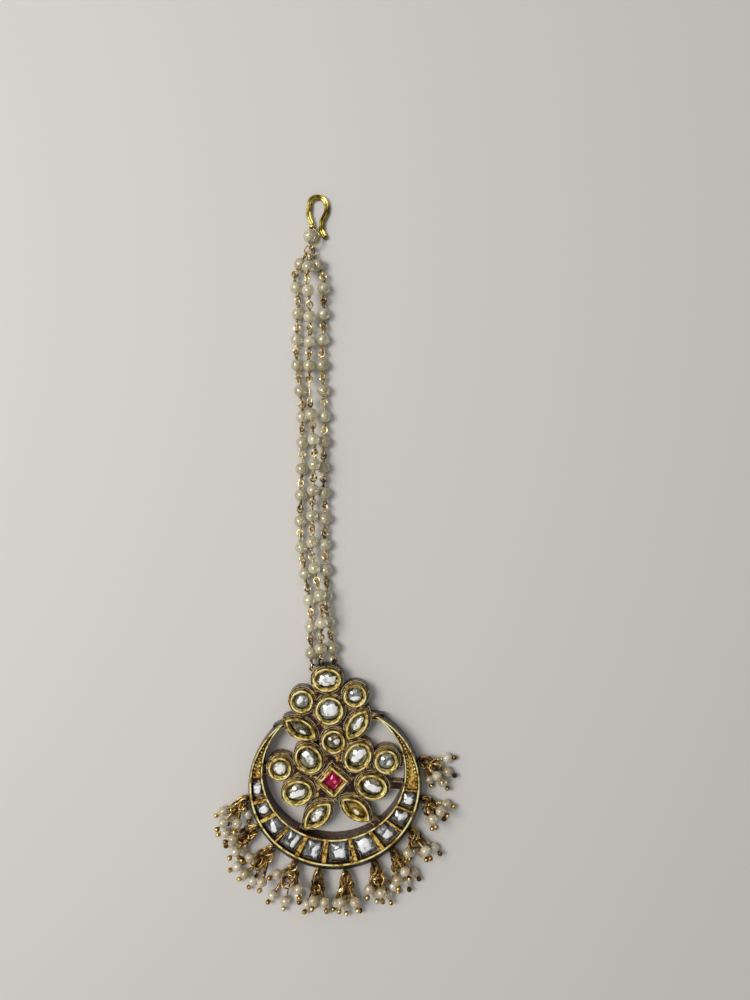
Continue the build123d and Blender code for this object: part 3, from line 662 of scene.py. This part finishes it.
def coil(start, end, radius, pitch, phase):
    """Points of a helix round the line from start to end."""
    along = (end - start).normalized()
    side = along.orthogonal().normalized()
    across = along.cross(side)
    length = (end - start).length
    turns = length / pitch
    steps = max(int(turns * COIL_STEPS), 6)
    points = []
    for step in range(steps + 1):
        share = step / steps
        turn = phase + 2 * math.pi * turns * share
        out = side * math.cos(turn) + across * math.sin(turn)
        points.append(start + along * length * share + out * radius)
    return points


def finished_mesh(name, builder, material):
    """Turns a builder into a mesh with this material."""
    mesh = bpy.data.meshes.new(name)
    builder.to_mesh(mesh)
    builder.free()
    mesh.materials.append(material)
    return mesh


def add_piece(name, builder, material):
    """Makes a smooth piece of the jewel."""
    bmesh.ops.recalc_face_normals(builder, faces=builder.faces[:])
    mesh = finished_mesh(name, builder, material)
    for polygon in mesh.polygons:
        polygon.use_smooth = True
    piece = add_object(name, mesh)
    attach(piece, "root")


def wrap_stems(builder, pins, pearls, pearl_radius, chance):
    """Winds wire on each bare stem between its eye and its pearl. Returns the stems' roots."""
    centres = [middle_of(points) for points in loose_parts(pearls)]
    roots = []
    for points in loose_parts(pins):
        middle = middle_of(points)
        first = max(points, key=lambda point: (point - middle).length)
        last = max(points, key=lambda point: (point - first).length)
        if (last - PENDANT_MIDDLE).length < (first - PENDANT_MIDDLE).length:
            first, last = last, first
        along = (last - first).normalized()
        length = (last - first).length

        def off_line(point):
            return ((point - first) - along * (point - first).dot(along)).length

        if length < 2 * pearl_radius or max(off_line(point) for point in points) > OFF_LINE:
            continue
        pearl = min(centres, key=lambda centre: (centre - middle).length)
        bead = (pearl - first).dot(along)
        if off_line(pearl) > OFF_LINE or not 0 < bead < length:
            continue
        base = pearl - along * bead
        roots.append(base + along * (bead - pearl_radius) * ROOT_SHARE)
        for near, far in ((0, bead - pearl_radius), (bead + pearl_radius, length)):
            if far - near > SHORTEST_WRAP:
                path = coil(base + along * near, base + along * far,
                            STEM_RADIUS + WRAP_WIRE, WRAP_PITCH, chance.uniform(0, 6))
                tube(builder, path, WRAP_WIRE)
    return roots


def tangle(builder, roots, chance):
    """Loose turns of wire round the stems of one bunch."""
    middle = middle_of(roots)
    spread = sum((root - middle).length for root in roots) / len(roots)
    for _ in range(LOOSE_LOOPS):
        tilt = Vector((chance.uniform(-0.8, 0.8), chance.uniform(-0.8, 0.8), 1)).normalized()
        side = tilt.orthogonal().normalized()
        across = tilt.cross(side)
        wide = chance.uniform(0.75, 1.25) * MM + spread * 0.3
        narrow = wide * chance.uniform(0.5, 0.9)
        lean = chance.uniform(0, math.pi)
        shift = Vector((
            chance.uniform(-0.6, 0.6), chance.uniform(-0.6, 0.6), chance.uniform(-0.2, 0.8),
        ))
        path = []
        for step in range(LOOSE_STEPS + 1):
            angle = lean + 2 * math.pi * LOOSE_TURNS * step / LOOSE_STEPS
            out = side * math.cos(angle) * wide + across * math.sin(angle) * narrow
            point = middle + shift * MM + out + tilt * LOOSE_RISE * step / LOOSE_STEPS
            point.z = max(point.z, LOWEST_LOOSE)
            path.append(point)
        tube(builder, path, LOOSE_WIRE)


chance = random.Random(11)
for strand in ("left", "centre", "right"):
    name = f"{strand}_strand"
    builder = bmesh.new()
    wrap_stems(builder, f"{name}_pins", f"{name}_pearls", STRAND_PEARL_RADIUS, chance)
    add_piece(f"{name}_wraps", builder, strand_wire)
for number in range(1, 12):
    name = f"fringe_{number}"
    builder = bmesh.new()
    roots = wrap_stems(builder, f"{name}_pins", f"{name}_pearls", DROP_PEARL_RADIUS, chance)
    tangle(builder, roots, chance)
    add_piece(f"{name}_wraps", builder, fringe_wire)


# ---- Floor and light ----

FLOOR_REACH = 2.0  # metres to each side

floor_material, _, shader = new_material("pale_floor")
shader.inputs["Base Color"].default_value = (0.58, 0.565, 0.54, 1)
shader.inputs["Roughness"].default_value = 0.8
builder = bmesh.new()
bmesh.ops.create_grid(builder, x_segments=1, y_segments=1, size=FLOOR_REACH)
floor = add_object("floor", finished_mesh("floor", builder, floor_material))


def area_light(name, spot, size, power, colour):
    """A square lamp that faces the origin."""
    data = bpy.data.lights.new(name, "AREA")
    data.size = size
    data.energy = power
    data.color = colour
    light = add_object(name, data)
    light.location = spot
    light.rotation_euler = (-Vector(spot)).to_track_quat("-Z", "Y").to_euler()


area_light("key", (-0.30, 0.08, 0.46), size=0.25, power=2.25, colour=(1.0, 0.98, 0.94))
area_light("fill", (0.1, 0.4, 0.6), size=0.5, power=0.35, colour=(0.95, 0.97, 1.0))

# The sky is pale towards -X and dark towards +X, and plain where the camera sees it.
world = bpy.data.worlds.new("world")
bpy.context.scene.world = world
world.use_nodes = True
sky = world.node_tree
direction = node(sky, "ShaderNodeTexCoord").outputs["Generated"]
sky_tone = ramp(sky, ranged(sky, parts_of(sky, direction)[0], -0.9, 0.9), [
    (0.0, (0.70, 0.70, 0.68)),
    (0.5, (0.36, 0.365, 0.37)),
    (1.0, (0.12, 0.125, 0.14)),
])
ray = node(sky, "ShaderNodeLightPath")
sky_tone = mix(sky, ray.outputs["Is Camera Ray"], sky_tone, (0.70, 0.69, 0.67))
sky.links.new(sky_tone, sky.nodes["Background"].inputs["Color"])
sky.nodes["Background"].inputs["Strength"].default_value = 1.0

bpy.context.scene.view_settings.view_transform = "Standard"
